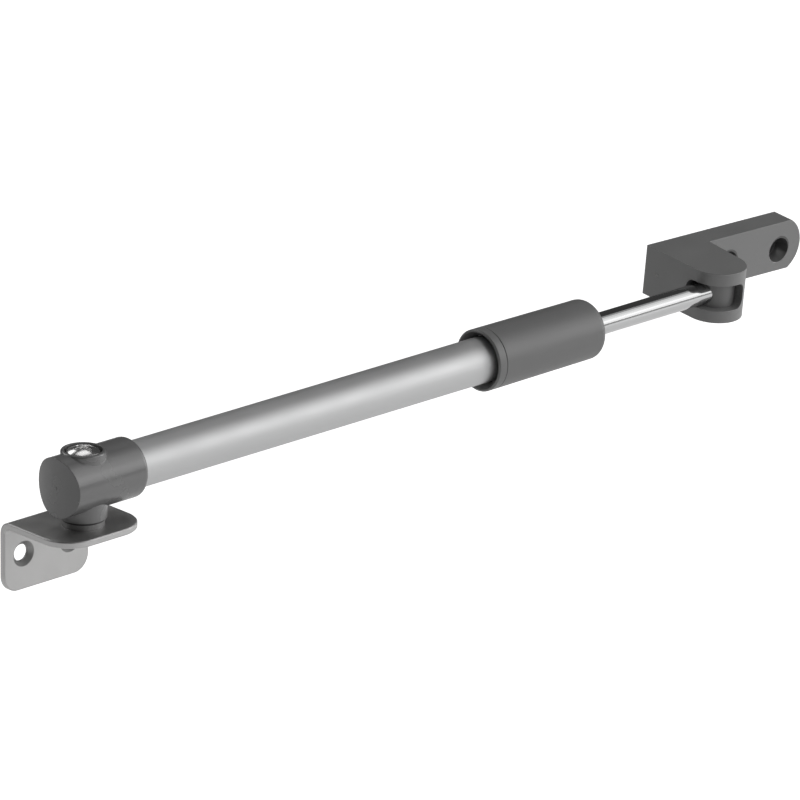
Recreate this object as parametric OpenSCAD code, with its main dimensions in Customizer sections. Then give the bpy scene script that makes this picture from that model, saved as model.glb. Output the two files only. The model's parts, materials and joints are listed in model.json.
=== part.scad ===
// Telescopic window stay: a folded steel bracket screwed to the window frame carries a tube on an
// upright pivot. A chromed rod slides in the tube and is clamped by a twist grip at the tube's end.
// The rod ends in a barrel that turns inside a moulded bracket screwed to the sash.
// Millimetres. The origin is midway between the frame bracket's two screw holes, on its back face.
// +X runs along the stay, +Y points into the window frame and +Z is up.

/* [Frame bracket] */
// Width of the folded steel bracket along the stay
bracket_w = 36.6; // [34:0.1:44]
// Thickness of the steel sheet
bracket_t = 2.3; // [1.8:0.1:2.5]
// Depth of the upper tab, from the back face to its front edge
tab_depth = 33.1; // [31:0.1:40]
// Height of the flange, from the top of the tab to its lower edge
flange_h = 25.4; // [23:0.1:32]
// Outer radius of the fold
fold_r = 4.4; // [2.6:0.1:5]
// Radius of the tab's two front corners
tab_corner_r = 11; // [4:0.5:12]
// Radius of the flange's two lower corners
flange_corner_r = 6; // [2:0.5:8]
// Distance between the two screw holes
screw_pitch = 20; // [18:0.1:23]
// Depth of the screw holes below the top of the tab
screw_drop = 13; // [11:0.1:15]
// Diameter of each screw hole
screw_hole_d = 5.8; // [4.5:0.1:6]
// Diameter of the countersink at the front face
screw_sink_d = 8.8; // [8:0.1:9]
// Bevel on the edges of the punched sheet
sheet_bevel = 0.35; // [0.2:0.05:0.4]

/* [Frame pivot] */
// Distance from the bracket's back face to the pivot axis
pivot_reach = 20.3; // [18:0.1:21]
// Height of the tube's axis above the tab
axis_h = 15.2; // [14.5:0.1:17]
// Diameter of the pivot post
post_d = 8; // [7:0.1:8.5]
// Diameter of the post's foot that rests on the tab
post_foot_d = 14.2; // [12:0.1:15]
// Thickness of the post's foot
post_foot_t = 1.9; // [1:0.1:2.4]
// Diameter of the riveted tail under the post
rivet_d = 6; // [5:0.1:6.5]
// Diameter of the upset head under the tab
rivet_head_d = 9; // [8:0.1:11]
// Height of the upset head under the tab
rivet_head_t = 1.3; // [1:0.1:2]
// Thickness of the dark washer under the cap's neck
pivot_washer_t = 0.9; // [0.6:0.1:1.5]
// Diameter of the pivot screw's raised head
pivot_head_d = 11.3; // [10:0.1:11.6]
// Height of the pivot screw's head
pivot_head_h = 3.6; // [3:0.1:4]
// Depth of the head's seat below the top of the boss
pivot_head_sink = 2.6; // [1.5:0.1:3]
// Radius of the head's upper edge
pivot_head_edge_r = 1.9; // [1:0.1:2.4]
// Rise of the head's slightly domed top
pivot_head_crown = 0.4; // [0.2:0.1:0.8]
// Thread diameter of the pivot screw
pivot_thread_d = 5; // [4:0.1:5.5]
// Length of the pivot screw's thread
pivot_thread_len = 10; // [7:0.5:12]
// Thickness of the spring washer under the head
spring_washer_t = 0.7; // [0.5:0.1:1]

/* [End cap] */
// Outer diameter of the moulded end cap
cap_d = 20.5; // [19:0.1:20.8]
// Length of the cap from the pivot axis towards the tube
cap_front = 19.9; // [17:0.1:26]
// Length of the cap from the pivot axis to its end face
cap_back = 11.8; // [10:0.1:15]
// Radius of the end face, which is bowed in plan
cap_end_r = 34; // [20:1:60]
// Radius of the edge round the tube
cap_edge_r = 1.6; // [0.5:0.1:1.6]
// Diameter of the boss round the pivot screw
boss_d = 15.1; // [14.9:0.1:17]
// Height of the boss above the tube's axis
boss_h = 10.6; // [10.5:0.1:12]
// Radius of the boss's upper edge
boss_edge_r = 0.7; // [0.2:0.1:0.8]
// Diameter of the neck below the cap
neck_d = 15.8; // [13:0.1:16.4]
// Distance from the pivot axis to the bottom of the tube's socket
socket_x = 9; // [7.6:0.1:11]

/* [Tube] */
// Outer diameter of the tube
tube_d = 16; // [15:0.1:16.4]
// Wall of the tube
tube_wall = 1; // [0.8:0.1:1.2]
// Length of the tube
tube_len = 197; // [185:1:260]

/* [Twist grip] */
// Diameter of the grip at its rear end
grip_rear_d = 21.8; // [21.4:0.1:25]
// Diameter of the grip at its front end
grip_front_d = 21.2; // [20.8:0.1:24]
// Length of the grip sleeve in front of the seam
sleeve_len = 48.7; // [46:0.1:60]
// Length of the rear ring behind the seam
ring_len = 3.7; // [3:0.1:6]
// Reach of the sleeve over the tube's end
grip_overlap = 24; // [20:0.5:30]
// Bevel on the rear edge of the grip's ring
grip_rear_bevel = 0.5; // [0.3:0.1:0.8]
// Radius of the grip's front edge
grip_edge_r = 2.6; // [1.5:0.1:4]
// Bevels that leave a fine groove between the grip's ring and its sleeve
seam_bevel = 0.25; // [0.1:0.05:0.4]
// Thickness of the grip's front wall
grip_front_wall = 4.9; // [4.5:0.1:6]
// Bore of the grip that the clamp cone turns in
grip_bore_d = 17.6; // [17.4:0.1:18]
// Bore of the grip's mouth, round the stop collar
mouth_d = 19.6; // [19:0.1:19.9]
// Lead of the clamping thread, the cone's travel in one full turn
thread_lead = 2; // [1:0.1:3]
// Turn of the grip from clamped to free, in degrees
grip_turn = 180; // [90:10:240]

/* [Rod] */
// Diameter of the sliding rod
rod_d = 8; // [7.6:0.1:8.2]
// Distance between the two pivots as the stay stands
pivot_span = 294.4; // [270:0.1:330]
// Reach of the rod from the sash pivot to its inner end
rod_reach = 218; // [180:1:220]
// Length of the guide piston
piston_len = 12; // [8:0.5:16]
// Length of the rubber stop ring
buffer_len = 4; // [2:0.5:6]
// Roll of the rod and the sash bracket about the rod as the stay stands, in degrees
rod_roll = 5.2; // [-30:0.1:30]

/* [Barrel] */
// Diameter of the barrel
barrel_d = 13.6; // [13:0.1:14.4]
// Height of the barrel
barrel_h = 13; // [12:0.1:13.4]
// Diameter of the pin that holds the rod in the barrel
barrel_pin_d = 3; // [2:0.1:3.5]
// Bevel on the barrel's two edges
barrel_bevel = 0.5; // [0.3:0.1:1]

/* [Sash bracket] */
// Height of the moulded bracket
sash_h = 18.4; // [17.6:0.1:24]
// Radius of the rounded boss about the barrel
sash_boss_r = 10.2; // [9.8:0.1:12]
// Distance from the barrel's axis to the bracket's back face
sash_back = 25.6; // [24:0.1:32]
// Thickness of the screw plate
plate_t = 9; // [7:0.1:10]
// Spread of the boss where its right side meets the plate
boss_flare = 1.7; // [0:0.1:3]
// Distance from the barrel's axis to the nearer screw hole
sash_screw_x = 21.6; // [20.5:0.1:26]
// Distance between the two screw holes
sash_screw_pitch = 25; // [18:0.5:40]
// Drop of the screw holes below the middle of the plate
sash_screw_drop = 1.4; // [0:0.1:2]
// Diameter of the through hole for the screw
sash_hole_d = 5.2; // [4:0.1:6]
// Diameter of the deep recess for the screw's head
sash_recess_d = 9.2; // [8:0.1:10]
// Plate left under the screw's head
sash_seat_t = 2.6; // [2:0.1:4]
// Distance from the farther screw hole to the plate's end
plate_end_reach = 10.3; // [8:0.1:14]
// Radius of the plate's rounded end
plate_end_r = 10.8; // [10:0.1:16]
// Gap above and below the rod in its slot, with the barrel midway in its pocket
slot_gap = 0.7; // [0.5:0.05:1]
// Drop of the barrel below the middle of its pocket, under the rod's weight
barrel_drop = 0.4; // [0:0.05:0.4]
// Room left in the slot behind the rod when it lies along the sash
slot_end_gap = 0.5; // [0.3:0.05:1]
// Radius of the corners at the slot's two ends
slot_corner_r = 3.4; // [0.5:0.1:4]
// Turn of the bracket about the barrel as the stay stands, in degrees
sash_yaw = 2.5; // [0:0.5:60]

/* [Fits] */
// Radial gap where one piece turns or slides in another
run_gap = 0.06; // [0.03:0.01:0.1]
// Radial gap of a pressed or glued joint
press_gap = 0.02; // [0.01:0.01:0.03]
// Gap beside parts that pass each other without touching
free_gap = 0.3; // [0.2:0.05:0.5]
// Gap round the tube and the rod where they pass through the grip's two ends
grip_gap = 0.45; // [0.3:0.05:0.7]
// Gap round the pivot screw's head in its recess
head_gap = 0.7; // [0.4:0.05:0.8]
// Play along the stay of the grip on its collar, to each side
collar_play = 0.2; // [0.1:0.05:0.4]
// Play along the rod of the guide piston on its journal, to each side
piston_play = 0.1; // [0.05:0.05:0.2]
// Gap between the clamp cone and the collet's fingers as the stay stands
cone_play = 0.12; // [0.08:0.02:0.2]

/* [Hidden] */
$fn = 96;

steel_look = "#b4b6b8";
chrome_look = "#d6d9dd";
alloy_look = "#c4c6c8";
plastic_look = "#5d5e60";
nylon_look = "#e6e4dc";
rubber_look = "#2c2c2d";
brass_look = "#c6a75a";

// The cuts run past the faces they open by this much
past = 1;
tube_r = tube_d / 2;
tube_bore_r = tube_r - tube_wall;
rod_r = rod_d / 2;

// Heights, measured from the tube's axis unless they start with tab
tab_top = screw_drop;
axis_z = tab_top + axis_h;
foot_top = -axis_h + post_foot_t;
neck_end = foot_top + pivot_washer_t;
head_seat = boss_h - pivot_head_sink;
recess_floor = head_seat - spring_washer_t;
head_recess_d = pivot_head_d + 2 * head_gap;
rivet_edge_r = 0.9;

// Places along the tube, measured from the pivot axis
tube_end = socket_x + tube_len;
seam_x = tube_end - grip_overlap;
grip_front_x = seam_x + sleeve_len;
nose_depth = 12;
nose_flange_t = 2;
nose_hub_r = 7;
hub_flat = 6.2;
collet_seat_len = 3;
collet_seat_r = 5.4;
collet_root_r = 6;
collet_tip_r = 5;
collet_len = 8;
collet_slots = 4;
collet_slot_w = 0.8;
collet_room = 0.8;
chamber_end = grip_front_x - grip_front_wall;
hub_end = chamber_end - collet_room - collet_len;
cone_room = 3;
cone_reach = 6;
cone_x = tube_end + nose_flange_t + cone_room;
cone_overlap = hub_end - cone_x;
cone_len = cone_overlap + cone_reach;
tightening_room = 1;
collar_t = 3;
ring_spigot_len = 1.8;
mouth_bevel = 3;
lip_w = 0.3;
collar_x = seam_x + ring_spigot_len + collar_play;
mouth_end = collar_x + collar_t + collar_play;
pin_x = tube_end - nose_depth / 2;
nose_pin_r = 1.25;
nose_pin_len = 2.4;

// Places along the rod, measured from the sash pivot
rod_inner = -rod_reach;
rod_tail = 2.5;
journal_d = 6;
journal_len = piston_len + 2 * piston_play;
piston_x = rod_inner + piston_play;
piston_washer_t = 1;
piston_washer_d = 11;
piston_screw_d = 4;
piston_screw_len = 8;
piston_head_d = 8;
piston_head_t = 2.4;

// The barrel's pocket and its keeper
pocket_r = barrel_d / 2 + run_gap;
pocket_h = barrel_h + 2 * barrel_drop + free_gap;
slot_h = rod_d + 2 * slot_gap;
slot_reach = rod_r + slot_end_gap;
keeper_front = slot_reach + free_gap;
keeper_wall = 2;
plate_face = sash_back - plate_t;
plate_end_x = sash_screw_x + sash_screw_pitch + plate_end_reach;

module pivot_frame() {
  translate([0, -pivot_reach, axis_z]) children();
}

module rod_frame() {
  pivot_frame() translate([pivot_span, 0, 0]) rotate([rod_roll, 0, 0]) children();
}

module sash_frame() {
  rod_frame() rotate([0, 0, -sash_yaw]) translate([0, 0, barrel_drop]) children();
}

// A round bar along X
module bar(x, len, r) {
  translate([x, 0, 0]) rotate([0, 90, 0]) cylinder(h = len, r = r);
}

// A round bar along X whose radius changes evenly from one end to the other
module cone_bar(x, len, r1, r2) {
  translate([x, 0, 0]) rotate([0, 90, 0]) cylinder(h = len, r1 = r1, r2 = r2);
}

module pipe(x, len, r_out, r_in) {
  difference() {
    bar(x, len, r_out);
    bar(x - past, len + 2 * past, r_in);
  }
}

// A post standing on the height z
module upright(z, h, r) {
  translate([0, 0, z]) cylinder(h = h, r = r);
}

// A post standing on the height z, with its upper edge rounded
module rounded_upright(z, h, r, edge) {
  translate([0, 0, z]) rotate_extrude() difference() {
    square([r, h]);
    translate([r - edge, h - edge]) difference() {
      square(edge + past);
      circle(edge);
    }
  }
}

// The sheet's section across a width, with its four edges bevelled
module sheet_section(x0, x1, y0, y1) {
  b = sheet_bevel;
  polygon([[x0 + b, y0], [x1 - b, y0], [x1, y0 + b], [x1, y1 - b],
           [x1 - b, y1], [x0 + b, y1], [x0, y1 - b], [x0, y0 + b]]);
}

// A leaf of the bracket, lying on z = 0 from y = 0, with rounded corners at its far end
module leaf(len, r) {
  half_w = bracket_w / 2;
  translate([0, len - r, 0]) rotate([90, 0, 0]) linear_extrude(len - r)
    sheet_section(-half_w, half_w, 0, bracket_t);
  translate([r - half_w, 0, 0]) rotate([90, 0, 90]) linear_extrude(bracket_w - 2 * r)
    intersection() {
      sheet_section(-fold_r, len, 0, bracket_t);
      square([len, bracket_t]);
    }
  for (side = [-1, 1]) translate([side * (half_w - r), len - r, 0]) rotate_extrude()
    intersection() {
      sheet_section(-r, r, 0, bracket_t);
      square([r, bracket_t]);
    }
}

// A flat outline with two rounded corners at its far end
module tongue(w, len, r) {
  difference() {
    translate([-w / 2, 0]) square([w, len]);
    for (side = [-1, 1])
      translate([side * (w / 2 - r), len - r])
        difference() {
          translate([side > 0 ? 0 : -r - past, 0]) square([r + past, r + past]);
          circle(r);
        }
  }
}

module window_bracket() {
  sink_depth = (screw_sink_d - screw_hole_d) / 2;
  color(steel_look) difference() {
    union() {
      // Tab, lying flat, from the fold to its rounded front corners
      translate([0, -fold_r, tab_top]) rotate([180, 0, 0])
        leaf(tab_depth - fold_r, tab_corner_r);
      // Flange, standing against the window frame
      translate([0, 0, tab_top - fold_r]) rotate([-90, 0, 0]) mirror([0, 0, 1])
        leaf(flange_h - fold_r, flange_corner_r);
      // Fold
      translate([-bracket_w / 2, -fold_r, tab_top - fold_r]) rotate([0, 90, 0])
        intersection() {
          rotate_extrude() sheet_section(fold_r - bracket_t, fold_r, 0, bracket_w);
          translate([-fold_r, 0, 0]) cube([fold_r, fold_r, bracket_w]);
        }
    }
    for (side = [-1, 1]) translate([side * screw_pitch / 2, 0, 0]) rotate([90, 0, 0]) {
      translate([0, 0, -past]) cylinder(h = bracket_t + 2 * past, r = screw_hole_d / 2);
      translate([0, 0, bracket_t - sink_depth])
        cylinder(h = sink_depth, r1 = screw_hole_d / 2, r2 = screw_sink_d / 2);
      translate([0, 0, bracket_t]) cylinder(h = past, r = screw_sink_d / 2);
    }
    translate([0, -pivot_reach, tab_top - bracket_t - past])
      cylinder(h = bracket_t + 2 * past, r = rivet_d / 2 + press_gap);
  }
}

module pivot_post() {
  color(steel_look) pivot_frame() difference() {
    union() {
      upright(-axis_h, post_foot_t, post_foot_d / 2);
      upright(foot_top, head_seat - foot_top, post_d / 2);
      upright(-axis_h - bracket_t, bracket_t, rivet_d / 2);
      mirror([0, 0, 1])
        rounded_upright(axis_h + bracket_t, rivet_head_t, rivet_head_d / 2, rivet_edge_r);
    }
    upright(head_seat - pivot_thread_len - past, pivot_thread_len + 2 * past,
            pivot_thread_d / 2 + press_gap);
  }
}

module pivot_washer() {
  color(plastic_look) pivot_frame() difference() {
    upright(foot_top, pivot_washer_t, post_foot_d / 2);
    upright(foot_top - past, pivot_washer_t + 2 * past, post_d / 2 + run_gap);
  }
}

module spring_washer() {
  color(steel_look) pivot_frame() difference() {
    upright(recess_floor, spring_washer_t, pivot_head_d / 2);
    upright(recess_floor - past, spring_washer_t + 2 * past, post_d / 2 + run_gap);
  }
}

module pivot_screw() {
  head_r = pivot_head_d / 2;
  crown_r = (head_r * head_r + pivot_head_crown * pivot_head_crown) / (2 * pivot_head_crown);
  color(chrome_look) pivot_frame() {
    upright(head_seat - pivot_thread_len, pivot_thread_len, pivot_thread_d / 2);
    intersection() {
      rounded_upright(head_seat, pivot_head_h, head_r, pivot_head_edge_r);
      translate([0, 0, head_seat + pivot_head_h - crown_r]) sphere(crown_r);
    }
  }
}

module end_cap() {
  color(plastic_look) pivot_frame() difference() {
    union() {
      intersection() {
        rotate([0, 90, 0])
          rounded_upright(-cap_back, cap_back + cap_front, cap_d / 2, cap_edge_r);
        translate([cap_end_r - cap_back, 0, 0]) upright(-cap_d, 2 * cap_d, cap_end_r);
      }
      rounded_upright(0, boss_h, boss_d / 2, boss_edge_r);
      upright(neck_end, -neck_end, neck_d / 2);
    }
    upright(neck_end - past, boss_h - neck_end + 2 * past, post_d / 2 + run_gap);
    upright(recess_floor, boss_h - recess_floor + past, head_recess_d / 2);
    // Ring-shaped socket for the tube, round a spigot that fills the tube's end
    pipe(socket_x, cap_front - socket_x + past, tube_r + press_gap, tube_bore_r - press_gap);
  }
}

module outer_tube() {
  color(alloy_look) pivot_frame() difference() {
    pipe(socket_x, tube_len, tube_r, tube_bore_r);
    nose_pin_holes();
  }
}

// The two drive pins' holes, through the tube's wall into the nose
module nose_pin_holes() {
  for (side = [-1, 1]) translate([pin_x, 0, 0]) rotate([-90 * side, 0, 0])
    upright(tube_r - nose_pin_len, nose_pin_len + past, nose_pin_r + press_gap);
}

module nose_pins() {
  color(steel_look) pivot_frame() for (side = [-1, 1])
    translate([pin_x, 0, 0]) rotate([-90 * side, 0, 0]) intersection() {
      upright(tube_r - nose_pin_len, nose_pin_len, nose_pin_r);
      rotate([0, 90, 0]) translate([0, 0, -tube_r]) cylinder(h = 2 * tube_r, r = tube_r);
    }
}

// Nose pressed into the tube's end: a spigot, a flange on the tube's rim, and a hub whose two
// flats stop the clamp cone from turning
module lock_nose() {
  color(plastic_look) pivot_frame() difference() {
    union() {
      bar(tube_end - nose_depth, nose_depth, tube_bore_r - press_gap);
      bar(tube_end, nose_flange_t, tube_r);
      intersection() {
        bar(tube_end, hub_end - tube_end, nose_hub_r);
        translate([tube_end, -nose_hub_r, -hub_flat])
          cube([hub_end - tube_end, 2 * nose_hub_r, 2 * hub_flat]);
      }
    }
    bar(tube_end - nose_depth - past, nose_depth + hub_end - tube_end + 2 * past, rod_r + run_gap);
    bar(hub_end - collet_seat_len, collet_seat_len + past, collet_seat_r);
    nose_pin_holes();
  }
}

// Collar fixed on the tube, which the grip's sleeve and ring close on from both sides
module stop_collar() {
  color(alloy_look) pivot_frame()
    pipe(collar_x, collar_t, mouth_d / 2 - free_gap, tube_r + press_gap);
}

// Slotted collet whose fingers taper towards the front
module collet() {
  color(brass_look) pivot_frame() difference() {
    union() {
      bar(hub_end - collet_seat_len, collet_seat_len, collet_seat_r - press_gap);
      cone_bar(hub_end, collet_len, collet_root_r, collet_tip_r);
    }
    bar(hub_end - collet_seat_len - past, collet_seat_len + collet_len + 2 * past, rod_r + run_gap);
    for (k = [0 : collet_slots / 2 - 1]) rotate([k * 360 / collet_slots + 45, 0, 0])
      translate([hub_end + collet_slot_w, -collet_slot_w / 2, -collet_root_r])
        cube([collet_len + past, collet_slot_w, 2 * collet_root_r]);
  }
}

// Clamp cone: keyed on the nose's flats and threaded in the grip, so that turning the grip draws
// its taper over the collet's fingers
module clamp_cone() {
  taper = (collet_root_r - collet_tip_r) / collet_len;
  key_len = cone_overlap + tightening_room;
  bore_len = cone_reach + past;
  bore_r = collet_root_r + cone_play;
  color(nylon_look) pivot_frame() difference() {
    bar(cone_x, cone_len, grip_bore_d / 2 - run_gap);
    intersection() {
      bar(cone_x - past, key_len + past, nose_hub_r + run_gap);
      translate([cone_x - past, -tube_r, -hub_flat - run_gap])
        cube([key_len + past, 2 * tube_r, 2 * (hub_flat + run_gap)]);
    }
    cone_bar(hub_end, bore_len, bore_r, bore_r - taper * bore_len);
  }
}

// Sleeve of the twist grip, tapered a little, with a rounded front edge
module grip_sleeve() {
  rear_r = grip_rear_d / 2;
  front_r = grip_front_d / 2;
  color(plastic_look) pivot_frame() translate([seam_x, 0, 0]) rotate([0, 90, 0]) difference() {
    rotate_extrude() difference() {
      polygon([[0, 0], [rear_r - seam_bevel, 0], [rear_r, seam_bevel],
               [front_r, sleeve_len], [0, sleeve_len]]);
      translate([front_r - grip_edge_r, sleeve_len - grip_edge_r]) difference() {
        square(grip_edge_r + past);
        circle(grip_edge_r);
      }
    }
    translate([0, 0, -past]) cylinder(h = mouth_end - seam_x + past, r = mouth_d / 2);
    translate([0, 0, -past]) cylinder(h = chamber_end - seam_x + past, r = grip_bore_d / 2);
    translate([0, 0, -past]) cylinder(h = sleeve_len + 2 * past, r = rod_r + grip_gap);
  }
}

// Ring that closes the grip's mouth behind the collar, with a bevelled opening round the tube
module grip_ring() {
  ring_r = grip_rear_d / 2;
  opening_r = tube_r + grip_gap;
  bevel_r = ring_r - grip_rear_bevel - lip_w;
  color(plastic_look) pivot_frame() difference() {
    union() {
      cone_bar(seam_x - ring_len, grip_rear_bevel, ring_r - grip_rear_bevel, ring_r);
      bar(seam_x - ring_len + grip_rear_bevel, ring_len - grip_rear_bevel - seam_bevel, ring_r);
      cone_bar(seam_x - seam_bevel, seam_bevel, ring_r, ring_r - seam_bevel);
      bar(seam_x, ring_spigot_len, mouth_d / 2 - press_gap);
    }
    bar(seam_x - ring_len - past, ring_len + ring_spigot_len + 2 * past, opening_r);
    // Bevelled opening, which leaves a narrow lip outside it
    cone_bar(seam_x - ring_len, mouth_bevel, bevel_r, opening_r);
    bar(seam_x - ring_len - past, past, bevel_r);
  }
}

// Guide piston on the rod's inner end, which slides in the tube's bore
module guide_piston() {
  color(nylon_look) rod_frame() difference() {
    bar(piston_x, piston_len, tube_bore_r - run_gap);
    bar(rod_inner - past, piston_len + 2 * past, journal_d / 2 + run_gap);
  }
}

module stop_buffer() {
  color(rubber_look) rod_frame()
    pipe(piston_x + piston_len, buffer_len, tube_bore_r - 2 * free_gap, rod_r + run_gap);
}

// Rod with a journal for the guide piston at its inner end
module rod() {
  color(chrome_look) rod_frame() difference() {
    union() {
      bar(rod_inner, journal_len, journal_d / 2);
      bar(rod_inner + journal_len, rod_reach - journal_len + rod_tail, rod_r);
    }
    bar(rod_inner - past, piston_screw_len + past, piston_screw_d / 2 + press_gap);
    upright(-rod_r - past, 2 * (rod_r + past), barrel_pin_d / 2 + press_gap);
  }
}

module piston_washer() {
  color(steel_look) rod_frame()
    pipe(rod_inner - piston_washer_t, piston_washer_t, piston_washer_d / 2,
         piston_screw_d / 2 + press_gap);
}

module piston_screw() {
  color(steel_look) rod_frame() {
    bar(rod_inner - piston_washer_t, piston_washer_t + piston_screw_len, piston_screw_d / 2);
    bar(rod_inner - piston_washer_t - piston_head_t, piston_head_t, piston_head_d / 2);
  }
}

// Barrel on the rod's end, which turns in the sash bracket's pocket
module barrel() {
  color(plastic_look) rod_frame() difference() {
    union() {
      upright(barrel_bevel - barrel_h / 2, barrel_h - 2 * barrel_bevel, barrel_d / 2);
      for (side = [0, 1]) mirror([0, 0, side]) translate([0, 0, barrel_h / 2 - barrel_bevel])
        cylinder(h = barrel_bevel, r1 = barrel_d / 2, r2 = barrel_d / 2 - barrel_bevel);
    }
    bar(-barrel_d, barrel_d + rod_tail, rod_r + press_gap);
    upright(-barrel_h, 2 * barrel_h, barrel_pin_d / 2 + press_gap);
  }
}

module barrel_pin() {
  color(steel_look) rod_frame() upright(-barrel_h / 2, barrel_h, barrel_pin_d / 2);
}

// Cut for the rod across the boss, with rounded corners where it ends beside the barrel's axis
module slot_end() {
  slot_len = slot_reach + sash_boss_r + past;
  translate([-sash_boss_r - past, slot_reach, 0]) rotate([90, 0, 0])
    linear_extrude(slot_len) rotate(-90) tongue(slot_h, slot_len, slot_corner_r);
}

// Moulded bracket: a rounded boss round the barrel, slotted for the rod, and a thick screw plate
module sash_bracket() {
  color(plastic_look) sash_frame() difference() {
    union() {
      translate([0, 0, -sash_h / 2]) linear_extrude(sash_h) {
        circle(sash_boss_r);
        polygon([[-sash_boss_r, 0], [sash_boss_r, 0],
                 [sash_boss_r + boss_flare, plate_face + plate_t / 2],
                 [-sash_boss_r, plate_face + plate_t / 2]]);
      }
      translate([0, sash_back, 0]) rotate([90, 0, 0]) linear_extrude(plate_t) intersection() {
        translate([-sash_boss_r, -sash_h / 2]) square([sash_boss_r + plate_end_x, sash_h]);
        union() {
          translate([-sash_boss_r, -sash_h / 2])
            square([sash_boss_r + plate_end_x - plate_end_r, sash_h]);
          translate([plate_end_x - plate_end_r, 0]) circle(plate_end_r);
        }
      }
    }
    // Pocket, open to the back, that the barrel is put in through
    upright(-pocket_h / 2, pocket_h, pocket_r);
    translate([-pocket_r, 0, -pocket_h / 2]) cube([2 * pocket_r, sash_back + past, pocket_h]);
    // Slot that lets the rod swing from beside the sash to square on to it
    intersection() {
      slot_end();
      mirror([1, -1, 0]) slot_end();
    }
    for (k = [0, 1])
      translate([sash_screw_x + k * sash_screw_pitch, sash_back, -sash_screw_drop])
        rotate([90, 0, 0]) {
          translate([0, 0, -past]) cylinder(h = plate_t + 2 * past, r = sash_hole_d / 2);
          translate([0, 0, sash_seat_t]) cylinder(h = plate_t, r = sash_recess_d / 2);
        }
  }
}

// Block pushed in behind the barrel, hollow at the back
module barrel_keeper() {
  half_w = pocket_r - press_gap;
  half_h = pocket_h / 2 - press_gap;
  hollow_y = pocket_r + keeper_wall;
  color(plastic_look) sash_frame() difference() {
    translate([-half_w, keeper_front, -half_h])
      cube([2 * half_w, sash_back - keeper_front, 2 * half_h]);
    upright(-pocket_h, 2 * pocket_h, pocket_r);
    translate([keeper_wall - half_w, hollow_y, keeper_wall - half_h])
      cube([2 * (half_w - keeper_wall), sash_back - hollow_y + past, 2 * (half_h - keeper_wall)]);
  }
}

window_bracket();
pivot_post();
pivot_washer();
spring_washer();
pivot_screw();
end_cap();
outer_tube();
lock_nose();
nose_pins();
stop_collar();
collet();
grip_sleeve();
grip_ring();
clamp_cone();
guide_piston();
stop_buffer();
rod();
piston_washer();
piston_screw();
barrel();
barrel_pin();
sash_bracket();
barrel_keeper();
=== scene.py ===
"""Telescopic window stay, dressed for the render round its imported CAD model.

Lengths are metres in the part's own frame: +X along the stay, +Y into the window frame, +Z up.
"""

import json
import math

import bmesh
import bpy
from mathutils import Matrix, Vector


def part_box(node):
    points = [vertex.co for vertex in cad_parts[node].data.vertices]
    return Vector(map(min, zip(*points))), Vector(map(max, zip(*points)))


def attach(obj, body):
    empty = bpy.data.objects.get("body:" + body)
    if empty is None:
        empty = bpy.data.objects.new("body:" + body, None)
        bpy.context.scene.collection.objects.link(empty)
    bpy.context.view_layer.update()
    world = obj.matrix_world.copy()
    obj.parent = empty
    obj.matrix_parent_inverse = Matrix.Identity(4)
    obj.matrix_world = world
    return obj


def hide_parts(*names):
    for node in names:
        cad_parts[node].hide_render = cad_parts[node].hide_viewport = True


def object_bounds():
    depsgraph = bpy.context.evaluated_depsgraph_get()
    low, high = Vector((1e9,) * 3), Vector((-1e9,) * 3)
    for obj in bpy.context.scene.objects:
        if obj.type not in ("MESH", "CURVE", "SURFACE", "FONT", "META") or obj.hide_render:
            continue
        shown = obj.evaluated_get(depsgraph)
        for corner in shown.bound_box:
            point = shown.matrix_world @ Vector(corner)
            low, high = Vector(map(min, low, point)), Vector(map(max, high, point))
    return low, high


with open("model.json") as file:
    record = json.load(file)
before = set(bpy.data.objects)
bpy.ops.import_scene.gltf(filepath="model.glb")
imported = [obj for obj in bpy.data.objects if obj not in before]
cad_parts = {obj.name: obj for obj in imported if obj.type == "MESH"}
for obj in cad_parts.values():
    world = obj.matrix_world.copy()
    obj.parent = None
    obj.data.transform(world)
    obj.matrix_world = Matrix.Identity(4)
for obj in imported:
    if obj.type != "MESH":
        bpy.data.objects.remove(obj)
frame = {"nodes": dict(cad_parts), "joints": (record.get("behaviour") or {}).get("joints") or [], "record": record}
cad_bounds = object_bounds()
nodes = frame["nodes"]
joints = {joint["name"]: joint for joint in frame["joints"]}
mounts = {mount["name"]: mount for mount in frame["record"]["mounts"]}

# The upright pivot on the tube's axis, which the camera and the lamps are placed from
PIVOT = Vector(joints["tube_swing"]["pos_m"])
SASH_PIVOT = Vector(joints["sash_swing"]["pos_m"])

# Camera, fitted to the photograph: 800 pixels square, places counted from its top left corner
FRAME_SIDE = 800
PIVOT_PIXEL = (83.26, 480.01)
PIXELS_PER_METRE = 3083
VIEW_TURN = math.radians(43.9)
VIEW_RISE = math.radians(19.6)
VIEW_ROLL = math.radians(0.966)
VIEW_DISTANCE = 2.388
SENSOR_WIDTH = 36

# Floor: how far below the stay it lies, its width and grey, and how strongly it glows for the
# camera and in what mirrors it. Then the grey of the dim room round it all.
FLOOR_DROP = 0.25
FLOOR_SIDE = 60
FLOOR_GREY = 0.70
SEEN_GLOW = 0.9
MIRRORED_GLOW = 0.47
WORLD_GREY = 0.06

# Softboxes: reach along the stay in metres, then bands of angles round it in degrees with the
# radiance of each. The key light is far to the right, brightest low down.
LAMP_REACH = 1.6
SOFTBOXES = {
    "key_softbox": ((2.2, 4.8), ((4, 20, 4.2), (20, 38, 4.5), (38, 56, 3.5), (56, 74, 2.0))),
    "side_softbox": ((0.7, 2.2), ((4, 20, 1.5), (20, 38, 1.8), (38, 56, 1.3), (56, 74, 1.0),
                                  (74, 90, 0.4))),
    "front_softbox": ((-0.6, 0.7), ((4, 20, 1.5), (20, 38, 0.8))),
    "overhead_softbox": ((0.05, 1.05), ((99, 121, 1.25),)),
    "back_softbox": ((-1.4, 0.5), ((134, 152, 2.0),)),
}

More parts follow.
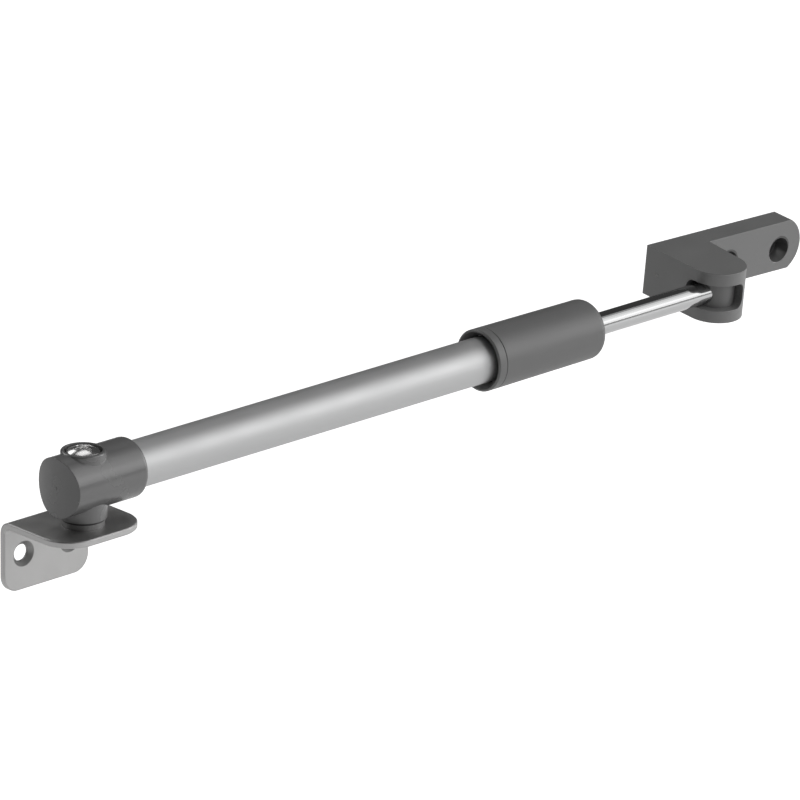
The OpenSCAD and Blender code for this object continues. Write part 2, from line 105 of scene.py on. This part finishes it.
# Screws: the pivot screw's raised head, and the pan head in the rod's inner end. A crown is the
# height of the dome, and a recess's reach and half width are those of one arm of its cross.
RAISED_HEAD = {"thread_d": 0.005, "pitch": 0.0008, "edge_r": 0.0008, "crown": 0.0016,
               "recess_reach": 0.0033, "recess_half_w": 0.00085, "recess_depth": 0.0026}
PAN_HEAD = {"thread_d": 0.004, "pitch": 0.0007, "edge_r": 0.0011, "crown": 0.0003,
            "recess_reach": 0.0022, "recess_half_w": 0.0006, "recess_depth": 0.0016}
HEAD_CHAMFER = 0.0002
THREAD_DEPTH = 0.62  # share of the pitch
EDGE_STEPS = 14
DOME_STEPS = 10
LATHE_SIDES = 96
THREAD_RINGS = 12
DRIVER_CLEARANCE = 0.001
DRIVER_TAPER = 0.62  # the recess's size at its floor against its mouth

# Gate marks, where the mould fed the plastic: a low ring round a small pip
GATE_RING_R = 0.00062
GATE_PIP_R = 0.00028
GATE_RISE = 0.00012
GATE_SINK = 0.00006
GATE_SIDES = 32
BRACKET_GATE_FROM_BACK = 0.0064
PROBE_START = 0.1  # how far outside the piece the line that finds its face starts

# Screw holes: the radius of the countersinks in the frame bracket and of the recesses in the sash bracket,
# how dark the painted shade in each is against the face round it, the width of their soft rims and how
# rough they are
COUNTERSINK_R = 0.0044
COUNTERSINK_SHADE = 0.62
RECESS_R = 0.00455
RECESS_SHADE = 0.35
SPOT_FADE = 0.0001
DULL_ROUGHNESS = 0.55

# Materials: samples of the edge bevel, the cosines of its normal's turn at a full edge and on a plain
# face, how strong the grain's bump is, and the part of a noise pattern's range that is used
BEVEL_SAMPLES = 6
EDGE_TURN = (0.90, 0.995)
BUMP_STRENGTH = 0.6
NOISE_RANGE = (0.3, 0.7)

# Edges sharper than this stay sharp in the screws' and the gate marks' shading
SHARP_ANGLE = math.radians(35)


def node_tree(material):
    """An empty node tree with a Principled shader wired to the output."""
    material.use_nodes = True
    tree = material.node_tree
    tree.nodes.clear()
    output = tree.nodes.new("ShaderNodeOutputMaterial")
    shader = tree.nodes.new("ShaderNodeBsdfPrincipled")
    tree.links.new(shader.outputs["BSDF"], output.inputs["Surface"])
    return tree, shader


def add_node(tree, kind, links=(), **values):
    """Adds a node, sets its inputs by name, and links (output socket, input name) pairs into it."""
    node = tree.nodes.new(kind)
    for name, value in values.items():
        if name in node.inputs:
            node.inputs[name].default_value = value
        else:
            setattr(node, name, value)
    for socket, name in links:
        tree.links.new(socket, node.inputs[name])
    return node


def noise(tree, coordinates, scale, detail=3.0, stretch=(1, 1, 1)):
    """A noise pattern in the part's own metres, stretched along an axis by a smaller factor."""
    mapping = add_node(tree, "ShaderNodeMapping", [(coordinates, "Vector")])
    mapping.inputs["Scale"].default_value = stretch
    pattern = add_node(tree, "ShaderNodeTexNoise", [(mapping.outputs["Vector"], "Vector")],
                       Scale=scale, Detail=detail)
    return pattern.outputs["Fac"]


def remap(tree, socket, low, high, to_low, to_high):
    """Maps a socket's range on to another range, clamped."""
    node = add_node(tree, "ShaderNodeMapRange", [(socket, "Value")])
    node.inputs["From Min"].default_value = low
    node.inputs["From Max"].default_value = high
    node.inputs["To Min"].default_value = to_low
    node.inputs["To Max"].default_value = to_high
    return node.outputs["Result"]


def edge_mask(tree, bevel):
    """White along the edges that the bevel rounds, black on the faces."""
    geometry = add_node(tree, "ShaderNodeNewGeometry")
    dot = add_node(tree, "ShaderNodeVectorMath", operation="DOT_PRODUCT")
    tree.links.new(bevel.outputs["Normal"], dot.inputs[0])
    tree.links.new(geometry.outputs["Normal"], dot.inputs[1])
    return remap(tree, dot.outputs["Value"], *EDGE_TURN, 1.0, 0.0)


def mix_colours(tree, factor, first, second):
    """Mixes two colours, each a colour or a socket, by a factor socket."""
    node = tree.nodes.new("ShaderNodeMix")
    node.data_type = "RGBA"
    tree.links.new(factor, node.inputs["Factor"])
    for name, value in (("A", first), ("B", second)):
        socket = [s for s in node.inputs if s.name == name and s.type == "RGBA"][0]
        if isinstance(value, bpy.types.NodeSocket):
            tree.links.new(value, socket)
        else:
            socket.default_value = value
    return [s for s in node.outputs if s.type == "RGBA"][0]


def mix_values(tree, factor, first, second):
    """Mixes the value of a socket with a number by a factor socket."""
    node = tree.nodes.new("ShaderNodeMix")
    tree.links.new(factor, node.inputs["Factor"])
    tree.links.new(first, node.inputs["A"])
    node.inputs["B"].default_value = second
    return node.outputs["Result"]


def round_spot(tree, coordinates, centre, radius):
    """White inside a circle about a centre, seen along Y, with a softened rim."""
    flat = add_node(tree, "ShaderNodeVectorMath", [(coordinates, 0)], operation="MULTIPLY")
    flat.inputs[1].default_value = (1, 0, 1)
    away = add_node(tree, "ShaderNodeVectorMath", [(flat.outputs["Vector"], 0)], operation="DISTANCE")
    away.inputs[1].default_value = (centre[0], 0, centre[2])
    return remap(tree, away.outputs["Value"], radius, radius + SPOT_FADE, 1.0, 0.0)


def grey(level, warmth=0.0):
    """A colour of that level, a little warm or cool."""
    return (level * (1 + warmth), level, level * (1 - warmth), 1.0)


def surface(name, level, warmth=0.0, metallic=0.0, roughness=(0.4, 0.5), spread=0.06,
            cloud_scale=90, grain_scale=3000, grain_depth=0.00001, grain_stretch=(1, 1, 1),
            edge_radius=0.0003, edge_gain=1.25, edge_roughness=None, specular=0.5, painted_shade_spots=()):
    """A material with clouded colour, uneven roughness, a fine grain, and a painted highlight along its
    edges, partly standing for wear; an edge gain below 1 paints a dark reflection there instead.

    A painted shade spot is a round place, seen along Y, whose colour is darkened as painted shade in a
    screw hole and whose surface is rougher: (centre, radius, shade).
    """
    material = bpy.data.materials.new(name)
    tree, shader = node_tree(material)
    coordinates = add_node(tree, "ShaderNodeTexCoord").outputs["Object"]
    clouds = noise(tree, coordinates, cloud_scale, detail=4.0)
    grain = noise(tree, coordinates, grain_scale, detail=2.0, stretch=grain_stretch)
    bevel = add_node(tree, "ShaderNodeBevel", samples=BEVEL_SAMPLES, Radius=edge_radius)
    bump = add_node(tree, "ShaderNodeBump", [(grain, "Height"), (bevel.outputs["Normal"], "Normal")],
                    Strength=BUMP_STRENGTH, Distance=grain_depth)
    tone = remap(tree, clouds, *NOISE_RANGE, 0.0, 1.0)
    body = mix_colours(tree, tone, grey(level * (1 - spread), warmth),
                       grey(level * (1 + spread), warmth))
    edges = edge_mask(tree, bevel)
    # Painted highlight: the colour along the edges is the body's level times edge_gain, partly wear; a gain below
    # 1 paints a dark reflection instead
    colour = mix_colours(tree, edges, body, grey(min(level * edge_gain, 1.0), warmth))
    rough = remap(tree, clouds, *NOISE_RANGE, *roughness)
    if edge_roughness is not None:
        rough = mix_values(tree, edges, rough, edge_roughness)
    # Painted shade: each round spot about a screw hole darkens the colour and raises the roughness
    for centre, radius, shade in painted_shade_spots:
        spot = round_spot(tree, coordinates, centre, radius)
        colour = mix_colours(tree, spot, colour, grey(level * shade, warmth))
        rough = mix_values(tree, spot, rough, DULL_ROUGHNESS)
    tree.links.new(colour, shader.inputs["Base Color"])
    tree.links.new(rough, shader.inputs["Roughness"])
    tree.links.new(bump.outputs["Normal"], shader.inputs["Normal"])
    shader.inputs["Metallic"].default_value = metallic
    shader.inputs["Specular IOR Level"].default_value = specular
    return material


def screw_places():
    """The places of the screw holes that the record's mounts give, by the mount's name."""
    half = mounts["frame_screws"]["dims"]["spacing_x_mm"] / 2000
    x, y, z = mounts["frame_screws"]["pos_m"]
    return {"frame": [(x - half, y, z), (x + half, y, z)],
            "sash": [mounts[name]["pos_m"] for name in ("sash_screw_near", "sash_screw_far")]}


def make_materials():
    """One material for each slot of the record, and the further finishes that some pieces have."""
    places = screw_places()
    countersinks = [(place, COUNTERSINK_R, COUNTERSINK_SHADE) for place in places["frame"]]
    recesses = [(place, RECESS_R, RECESS_SHADE) for place in places["sash"]]
    # Zinc edges are painted darker: a painted dark reflection along their rounded edges
    zinc = {"warmth": 0.006, "metallic": 1.0, "roughness": (0.40, 0.52), "spread": 0.06,
            "grain_scale": 2600, "grain_depth": 0.000006, "edge_radius": 0.00035, "edge_gain": 0.75}
    # Plastic edges get a painted highlight, partly wear, and a lower roughness
    plastic = {"spread": 0.03, "grain_scale": 5200, "edge_roughness": 0.2}
    return {
        "grey_plastic": surface("moulded_grey", 0.18, roughness=(0.42, 0.50), specular=0.7,
                                grain_depth=0.000012, edge_gain=1.4, **plastic),
        # The sash bracket's two recesses get painted shade
        "textured_plastic": surface("moulded_grey_textured", 0.2, roughness=(0.40, 0.48),
                                    specular=1.0, grain_depth=0.000014, edge_gain=1.6,
                                    painted_shade_spots=recesses, **plastic),
        "smooth_plastic": surface("moulded_grey_smooth", 0.176, roughness=(0.24, 0.29),
                                  specular=1.0, grain_depth=0.000005, edge_gain=1.3, **plastic),
        # The washer's black is painted shade under the cap's neck
        "black_plastic": surface("washer_black", 0.04, roughness=(0.42, 0.50)),
        # Painted highlight: the gate marks are coloured far lighter than the plastic, standing in for the bright
        # spot that their small ring is too small to catch
        "gate_mark_painted_highlight": surface("gate_mark_painted_highlight", 0.42, roughness=(0.5, 0.6)),
        "anodised_tube": surface("anodised_aluminium", 0.57, warmth=-0.004, metallic=1.0,
                                 roughness=(0.52, 0.58), spread=0.015, grain_scale=4200,
                                 grain_stretch=(0.02, 1, 1), grain_depth=0.000004),
        "chrome": surface("chrome_plate", 0.53, warmth=-0.004, metallic=1.0, roughness=(0.07, 0.11),
                          spread=0.01, grain_scale=1500, grain_depth=0.0000012, edge_radius=0.0002),
        "plated_head": surface("plated_head", 0.70, warmth=0.004, metallic=1.0,
                               roughness=(0.16, 0.26), spread=0.12, cloud_scale=1100,
                               grain_scale=1200, grain_depth=0.000018, edge_radius=0.0002),
        "zinc_steel": surface("zinc_plated_steel", 0.51, **zinc),
        # The frame bracket's two countersinks get painted shade
        "bracket_steel": surface("zinc_plated_bracket", 0.51, painted_shade_spots=countersinks, **zinc),
        # Darker than the zinc as painted shade under the cap's neck, and rougher
        "dull_steel": surface("dull_steel", 0.26, warmth=0.003, metallic=1.0,
                              roughness=(0.45, 0.6), spread=0.08, grain_scale=2600,
                              grain_depth=0.000006, edge_radius=0.0002),
        "nylon": surface("natural_nylon", 0.62, warmth=0.03, roughness=(0.42, 0.5), spread=0.03),
        "black_rubber": surface("stop_rubber", 0.03, roughness=(0.7, 0.85), spread=0.1),
        "brass": surface("turned_brass", 0.5, metallic=1.0, roughness=(0.22, 0.3),
                         grain_scale=5000, grain_stretch=(1, 0.03, 0.03)),
    }


def place_camera():
    """The photograph's camera: turned towards the pivot end, a little above and a little rolled."""
    turn = -VIEW_TURN
    back = Vector((math.sin(turn) * math.cos(VIEW_RISE), -math.cos(turn) * math.cos(VIEW_RISE),
                   math.sin(VIEW_RISE)))
    level_right = Vector((math.cos(turn), math.sin(turn), 0))
    level_up = back.cross(level_right)
    right = level_right * math.cos(VIEW_ROLL) + level_up * math.sin(VIEW_ROLL)
    up = level_up * math.cos(VIEW_ROLL) - level_right * math.sin(VIEW_ROLL)
    focal_pixels = PIXELS_PER_METRE * VIEW_DISTANCE
    aside = (PIVOT_PIXEL[0] - FRAME_SIDE / 2) / PIXELS_PER_METRE
    above = (FRAME_SIDE / 2 - PIVOT_PIXEL[1]) / PIXELS_PER_METRE
    place = PIVOT + back * VIEW_DISTANCE - right * aside - up * above
    camera = bpy.data.objects.new("camera", bpy.data.cameras.new("camera"))
    bpy.context.scene.collection.objects.link(camera)
    rotation = Matrix((right, up, back)).transposed()
    camera.matrix_world = Matrix.LocRotScale(place, rotation.to_quaternion(), None)
    camera.data.sensor_width = SENSOR_WIDTH
    camera.data.lens = SENSOR_WIDTH * focal_pixels / FRAME_SIDE
    bpy.context.scene.camera = camera


def round_the_stay(x, angle, reach):
    """A place at an angle round the stay's axis: 0 degrees is straight in front, 90 is overhead."""
    turn = math.radians(angle)
    return Vector((x, PIVOT.y - reach * math.cos(turn), PIVOT.z + reach * math.sin(turn)))


def softbox(name, x_range, angle_range, radiance):
    """A rectangular lamp that faces the stay and fills those angles round it."""
    x = sum(x_range) / 2
    angle = sum(angle_range) / 2
    half_angle = math.radians(angle_range[1] - angle_range[0]) / 2
    lamp = bpy.data.lights.new(name, "AREA")
    lamp.shape = "RECTANGLE"
    lamp.size = x_range[1] - x_range[0]
    lamp.size_y = 2 * LAMP_REACH * math.tan(half_angle)
    lamp.energy = radiance * math.pi * lamp.size * lamp.size_y
    box = bpy.data.objects.new(name, lamp)
    bpy.context.scene.collection.objects.link(box)
    place = round_the_stay(x, angle, LAMP_REACH)
    across = Vector((1, 0, 0))
    away = (place - Vector((x, PIVOT.y, PIVOT.z))).normalized()
    rotation = Matrix((across, away.cross(across), away)).transposed()
    box.matrix_world = Matrix.LocRotScale(place, rotation.to_quaternion(), None)
    box.visible_camera = False


def light_the_studio():
    """The softboxes, band by band, in a dim grey room."""
    for name, (x_range, bands) in SOFTBOXES.items():
        for low, high, radiance in bands:
            softbox(f"{name}_{low}", x_range, (low, high), radiance)
    world = bpy.data.worlds.new("studio")
    bpy.context.scene.world = world
    world.use_nodes = True
    world.node_tree.nodes["Background"].inputs["Color"].default_value = grey(WORLD_GREY)


def scaled(tree, socket, gain):
    """A socket's value times a constant."""
    node = add_node(tree, "ShaderNodeMath", [(socket, 0)], operation="MULTIPLY")
    node.inputs[1].default_value = gain
    return node.outputs[0]


def larger(tree, first, second):
    """The larger of two sockets' values."""
    return add_node(tree, "ShaderNodeMath", [(first, 0), (second, 1)], operation="MAXIMUM").outputs[0]


def lay_floor(lowest):
    """A white floor well below the stay, which glows for the camera and in reflections alone."""
    material = bpy.data.materials.new("studio_floor")
    tree, shader = node_tree(material)
    paths = add_node(tree, "ShaderNodeLightPath")
    mirrored = larger(tree, paths.outputs["Is Glossy Ray"], paths.outputs["Is Transmission Ray"])
    glow = larger(tree, scaled(tree, paths.outputs["Is Camera Ray"], SEEN_GLOW),
                  scaled(tree, mirrored, MIRRORED_GLOW))
    shader.inputs["Base Color"].default_value = grey(FLOOR_GREY)
    shader.inputs["Roughness"].default_value = 1.0
    shader.inputs["Specular IOR Level"].default_value = 0.0
    shader.inputs["Emission Color"].default_value = grey(1.0)
    tree.links.new(glow, shader.inputs["Emission Strength"])
    half = FLOOR_SIDE / 2
    mesh = bpy.data.meshes.new("studio_floor")
    corners = [(-half, -half), (half, -half), (half, half), (-half, half)]
    mesh.from_pydata([(x, y, lowest - FLOOR_DROP) for x, y in corners], [], [(0, 1, 2, 3)])
    mesh.materials.append(material)
    floor = bpy.data.objects.new("studio_floor", mesh)
    bpy.context.scene.collection.objects.link(floor)


def dress_nodes(materials):
    """Gives each CAD node the material of its slot, or the finish that its piece has of its own."""
    # The pivot post's steel and its washer are coloured dark as painted shade under the cap's neck
    finishes = {"end_cap": "smooth_plastic", "pivot_post": "dull_steel",
                "pivot_washer": "black_plastic", "window_bracket": "bracket_steel",
                "sash_bracket": "textured_plastic"}
    for subpart in frame["record"]["subparts"]:
        finish = finishes.get(subpart["node"], subpart["material_slot"])
        for slot in nodes[subpart["node"]].material_slots:
            slot.material = materials[finish]


def new_piece(name, mesh, material):
    """A linked object of that mesh and material."""
    mesh.materials.append(material)
    piece = bpy.data.objects.new(name, mesh)
    bpy.context.scene.collection.objects.link(piece)
    return piece


def lathe(name, outline, sides=LATHE_SIDES):
    """A mesh turned round Z from an outline of (radius, height) points, closed at radius 0."""
    mesh = bpy.data.meshes.new(name)
    form = bmesh.new()
    rings = []
    for radius, height in outline:
        if radius == 0:
            rings.append([form.verts.new((0, 0, height))])
            continue
        turns = [2 * math.pi * k / sides for k in range(sides)]
        rings.append([form.verts.new((radius * math.cos(t), radius * math.sin(t), height))
                      for t in turns])
    for low, high in zip(rings, rings[1:]):
        for k in range(sides):
            after = (k + 1) % sides
            corners = [low[k % len(low)], low[after % len(low)],
                       high[after % len(high)], high[k % len(high)]]
            form.faces.new(list(dict.fromkeys(corners)))
    bmesh.ops.recalc_face_normals(form, faces=form.faces)
    form.to_mesh(mesh)
    form.free()
    return mesh


def shade(mesh):
    """Smooth shading, with the edges past SHARP_ANGLE kept sharp."""
    form = bmesh.new()
    form.from_mesh(mesh)
    for face in form.faces:
        face.smooth = True
    for edge in form.edges:
        edge.smooth = len(edge.link_faces) == 2 and edge.calc_face_angle() < SHARP_ANGLE
    form.to_mesh(mesh)
    form.free()


def head_outline(radius, height, edge_r, crown):
    """Half outline of a head that stands on height 0: a rounded edge that runs into a domed top."""
    dome_r = (radius ** 2 + crown ** 2) / (2 * crown)
    dome_z = height - dome_r
    edge_x = radius - edge_r
    edge_z = dome_z + math.sqrt((dome_r - edge_r) ** 2 - edge_x ** 2)
    tilt = math.asin(edge_x / (dome_r - edge_r))
    outline = [(0, 0), (radius - HEAD_CHAMFER, 0), (radius, HEAD_CHAMFER)]
    for step in range(EDGE_STEPS + 1):
        turn = (math.pi / 2 - tilt) * step / EDGE_STEPS
        outline.append((edge_x + edge_r * math.cos(turn), edge_z + edge_r * math.sin(turn)))
    for step in range(1, DOME_STEPS):
        turn = tilt * (1 - step / DOME_STEPS)
        outline.append((dome_r * math.sin(turn), dome_z + dome_r * math.cos(turn)))
    return outline + [(0, height)]


def thread_mesh(name, length, diameter, pitch):
    """A right-handed thread that hangs from height 0, its radius following the helix, tapered off
    at its end."""
    depth = THREAD_DEPTH * pitch
    rows = round(length / pitch * THREAD_RINGS)
    mesh = bpy.data.meshes.new(name)
    form = bmesh.new()
    rings = []
    for row in range(rows + 1):
        height = -length * row / rows
        ring = []
        for k in range(LATHE_SIDES):
            turn = k / LATHE_SIDES
            # A quarter of the pitch is crest, a quarter is root and the rest is the two flanks
            phase = (height / pitch - turn) % 1
            flank = min(1.0, max(0.0, 1.5 - abs(4 * phase - 2)))
            to_end = min(1.0, (length + height) / pitch)
            radius = diameter / 2 - depth * (1 - flank * to_end)
            angle = 2 * math.pi * turn
            ring.append(form.verts.new((radius * math.cos(angle), radius * math.sin(angle), height)))
        rings.append(ring)
    for low, high in zip(rings, rings[1:]):
        for k in range(LATHE_SIDES):
            after = (k + 1) % LATHE_SIDES
            form.faces.new((low[k], low[after], high[after], high[k]))
    form.faces.new(rings[0])
    form.faces.new(rings[-1])
    bmesh.ops.recalc_face_normals(form, faces=form.faces)
    form.to_mesh(mesh)
    form.free()
    return mesh


def recess_cutter(top, reach, half_width, depth):
    """A cross-shaped driver recess: a tapered cross over a blunt point, to be cut into a head."""
    form = bmesh.new()
    rings = []
    for height, size in ((top + DRIVER_CLEARANCE, 1.0), (top, 1.0), (top - depth, DRIVER_TAPER)):
        ring = []
        for quarter in range(4):
            turn = Matrix.Rotation(math.pi / 2 * quarter, 3, "Z")
            for x, y in ((reach * size, -half_width * size), (reach * size, half_width * size),
                         (half_width * size, half_width * size)):
                ring.append(form.verts.new(turn @ Vector((x, y, height))))
        rings.append(ring)
    count = len(rings[0])
    for low, high in zip(rings, rings[1:]):
        for k in range(count):
            after = (k + 1) % count
            form.faces.new((low[k], low[after], high[after], high[k]))
    form.faces.new(rings[0])
    tip = form.verts.new((0, 0, top - depth - half_width))
    for k in range(count):
        form.faces.new((rings[-1][k], rings[-1][(k + 1) % count], tip))
    bmesh.ops.recalc_face_normals(form, faces=form.faces)
    mesh = bpy.data.meshes.new("recess_cutter")
    form.to_mesh(mesh)
    form.free()
    return mesh


def combine(mesh, other, operation):
    """The mesh joined with, or cut by, another one."""
    scene = bpy.context.scene.collection
    piece = bpy.data.objects.new("solid", mesh)
    tool = bpy.data.objects.new("tool", other)
    scene.objects.link(piece)
    scene.objects.link(tool)
    change = piece.modifiers.new("combine", "BOOLEAN")
    change.operation = operation
    change.solver = "EXACT"
    change.object = tool
    view = bpy.context.evaluated_depsgraph_get()
    result = bpy.data.meshes.new_from_object(piece.evaluated_get(view))
    bpy.data.objects.remove(piece)
    bpy.data.objects.remove(tool)
    return result


def screw(name, node, head_r, seat, top, tail, sizes, material):
    """A screw for a CAD node: all heights are along Z from the head's seat, with its tail below."""
    height = top - seat
    mesh = lathe(name, head_outline(head_r, height, sizes["edge_r"], sizes["crown"]))
    cutter = recess_cutter(height, sizes["recess_reach"], sizes["recess_half_w"],
                           sizes["recess_depth"])
    mesh = combine(mesh, cutter, "DIFFERENCE")
    mesh = combine(mesh, thread_mesh(name, seat - tail, sizes["thread_d"], sizes["pitch"]), "UNION")
    shade(mesh)
    mesh.name = name
    piece = new_piece(name, mesh, material)
    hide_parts(node)
    return piece


def make_pivot_screw(materials):
    """The raised-head screw that holds the end cap on the pivot post."""
    low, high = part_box("pivot_screw")
    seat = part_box("spring_washer")[1][2]
    piece = screw("raised_head_screw", "pivot_screw", (high[0] - low[0]) / 2, seat, high[2], low[2],
                  RAISED_HEAD, materials["plated_head"])
    piece.data.transform(Matrix.Translation((PIVOT.x, PIVOT.y, seat)))
    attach(piece, "frame_bracket")


def make_piston_screw(materials):
    """The pan-head screw in the rod's inner end, which holds the guide piston's washer."""
    low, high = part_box("piston_screw")
    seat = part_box("piston_washer")[0][0]
    piece = screw("pan_head_screw", "piston_screw", (high[2] - low[2]) / 2, -seat, -low[0], -high[0],
                  PAN_HEAD, materials["zinc_steel"])
    inward = Matrix.Rotation(-math.pi / 2, 4, "Y")
    piece.data.transform(Matrix.Translation((seat, SASH_PIVOT.y, SASH_PIVOT.z)) @ inward)
    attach(piece, "rod_unit")


def gate_mark(name, node, start, direction, body, material):
    """A mould's gate mark, seated where a line from the start meets the node's face."""
    _, place, normal, _ = nodes[node].ray_cast(start, direction)
    outline = [(0, -GATE_SINK), (GATE_RING_R, -GATE_SINK), (GATE_RING_R * 0.94, GATE_RISE / 2),
               (GATE_RING_R * 0.78, GATE_RISE / 2), (GATE_RING_R * 0.7, GATE_SINK / 4),
               (GATE_PIP_R * 1.2, GATE_SINK / 4), (GATE_PIP_R, GATE_RISE * 0.8), (0, GATE_RISE)]
    mesh = lathe(name, outline, sides=GATE_SIDES)
    shade(mesh)
    turn = Vector((0, 0, 1)).rotation_difference(normal).to_matrix().to_4x4()
    mesh.transform(Matrix.Translation(place) @ turn)
    piece = new_piece(name, mesh, material)
    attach(piece, body)


def make_gate_marks(materials):
    """One mark on the cap's end face and one on the sash bracket's side."""
    along = Vector((1, 0, 0))
    gate_mark("cap_gate_mark", "end_cap", PIVOT - PROBE_START * along, along, "tube_unit",
              materials["gate_mark_painted_highlight"])
    face = mounts["sash_face"]
    back = Vector(face["axis"]).normalized()
    up = Vector(joints["sash_swing"]["axis"]).normalized()
    side = back.cross(up)
    start = Vector(face["pos_m"]) - BRACKET_GATE_FROM_BACK * back - PROBE_START * side
    gate_mark("bracket_gate_mark", "sash_bracket", start, side, "sash_unit",
              materials["gate_mark_painted_highlight"])


materials = make_materials()
dress_nodes(materials)
place_camera()
light_the_studio()
lay_floor(cad_bounds[0][2])
make_pivot_screw(materials)
make_piston_screw(materials)
make_gate_marks(materials)
bpy.context.scene.view_settings.view_transform = "Standard"
